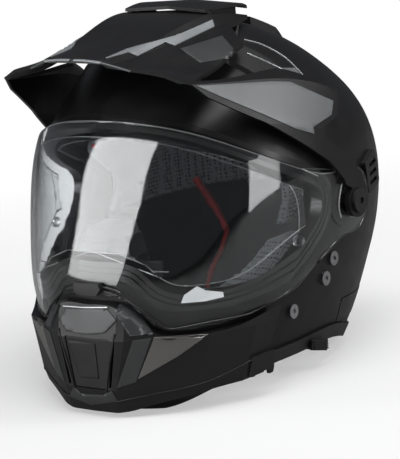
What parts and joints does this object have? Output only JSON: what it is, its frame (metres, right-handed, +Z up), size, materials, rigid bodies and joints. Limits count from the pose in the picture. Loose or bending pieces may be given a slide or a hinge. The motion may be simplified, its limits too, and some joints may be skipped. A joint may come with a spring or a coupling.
{
  "type": "dual sport helmet",
  "caption": "Full-face dual sport helmet with a peak, a hinged clear visor, an inner sun visor and a removable vented chin guard.",
  "frame": {"origin": "centre of the helmet's bounding box in plan, at the plane that the lower rim rests on", "axes": "+Z up, +X towards the wearer's left, -Y towards the front"},
  "size_m": [0.2662, 0.3238, 0.2866],
  "materials": {
    "shell": "matt black lacquer",
    "guard": "satin black",
    "plastic": "fine grain",
    "rubber": "soft",
    "foam": "expanded polystyrene",
    "lining": "mesh knit",
    "lens": "clear",
    "smoke": "smoked",
    "steel": "satin",
    "pin": "clear grey",
    "webbing": "woven",
    "curtain": "knit"
  },
  "bodies": {
    "shell": {"breath_deflector": "rubber", "buckle_body": "plastic", "cheek_pad_left": "lining", "cheek_pad_right": "lining", "chin_curtain": "curtain", "comm_cover_left": "shell", "crown_liner": "lining", "crown_vent_left": "plastic", "crown_vent_right": "plastic", "eye_port_gasket": "rubber", "foam_liner": "foam", "neck_roll": "lining", "outer_shell": "shell", "peak_side_screws": "plastic", "pivot_plate_left": "plastic", "pivot_plate_right": "plastic", "ratchet_strip": "plastic", "rear_vent_housing": "shell", "rim_trim": "rubber", "side_exhaust_left": "plastic", "side_exhaust_right": "plastic", "side_studs": "steel", "strap_left": "webbing", "strap_right": "webbing", "sun_visor_pins": "steel", "visor_retainer_left": "plastic", "visor_retainer_right": "plastic"},
    "visor": {"visor_lens": "lens", "visor_lift_tab": "plastic", "anti_fog_insert": "lens", "anti_fog_pins": "pin"},
    "sun_visor": {"sun_visor": "smoke"},
    "sun_lever": {"sun_visor_lever": "plastic"},
    "chin_guard": {"chin_guard": "guard", "chin_vent_grille": "plastic"},
    "chin_vent": {"chin_vent_flap": "guard"},
    "latch_left": {"guard_latch_left": "plastic"},
    "latch_right": {"guard_latch_right": "plastic"},
    "rear_vent": {"rear_vent_slider": "plastic"},
    "peak": {"peak_shell": "shell", "peak_wing": "shell"},
    "buckle_lever": {"buckle_lever": "steel"}
  },
  "joints": [
    {"name": "visor_hinge", "type": "hinge", "parent": "shell", "child": "visor", "pos_m": [0, 0.0231, 0.13], "axis": [-1, 0, 0], "range_deg": [0, 31]},
    {"name": "sun_visor_hinge", "type": "hinge", "parent": "shell", "child": "sun_visor", "pos_m": [0, 0.0231, 0.13], "axis": [1, 0, 0], "range_deg": [0, 36]},
    {"name": "sun_lever_slide", "type": "slide", "parent": "shell", "child": "sun_lever", "axis": [0, -1, 0], "range_m": [0, 0.014]},
    {"name": "chin_guard_release", "type": "slide", "parent": "shell", "child": "chin_guard", "axis": [0, -1, 0], "range_m": [0, 0.06]},
    {"name": "chin_vent_hinge", "type": "hinge", "parent": "chin_guard", "child": "chin_vent", "pos_m": [0, -0.1604, 0.0226], "axis": [1, 0, 0], "range_deg": [0, 14]},
    {"name": "latch_left_press", "type": "slide", "parent": "chin_guard", "child": "latch_left", "axis": [0, 0, -1], "range_m": [0, 0.003], "stiffness_N_per_m": 300, "springref_m": -0.001},
    {"name": "latch_right_press", "type": "slide", "parent": "chin_guard", "child": "latch_right", "axis": [0, 0, -1], "range_m": [0, 0.003], "stiffness_N_per_m": 300, "springref_m": -0.001},
    {"name": "rear_vent_slide", "type": "slide", "parent": "shell", "child": "rear_vent", "axis": [0, 0.8387, -0.5446], "range_m": [0, 0.006]},
    {"name": "peak_tilt", "type": "hinge", "parent": "shell", "child": "peak", "pos_m": [0, 0.0231, 0.13], "axis": [-1, 0, 0], "range_deg": [0, 5]},
    {"name": "buckle_lever_hinge", "type": "hinge", "parent": "shell", "child": "buckle_lever", "pos_m": [0.047, 0.0001, 0.031], "axis": [0, -1, 0], "range_deg": [0, 40]}
  ],
  "couplings": [
    {"joint": "sun_lever_slide", "follows": "sun_visor_hinge", "m_per_rad": 0.022282}
  ]
}
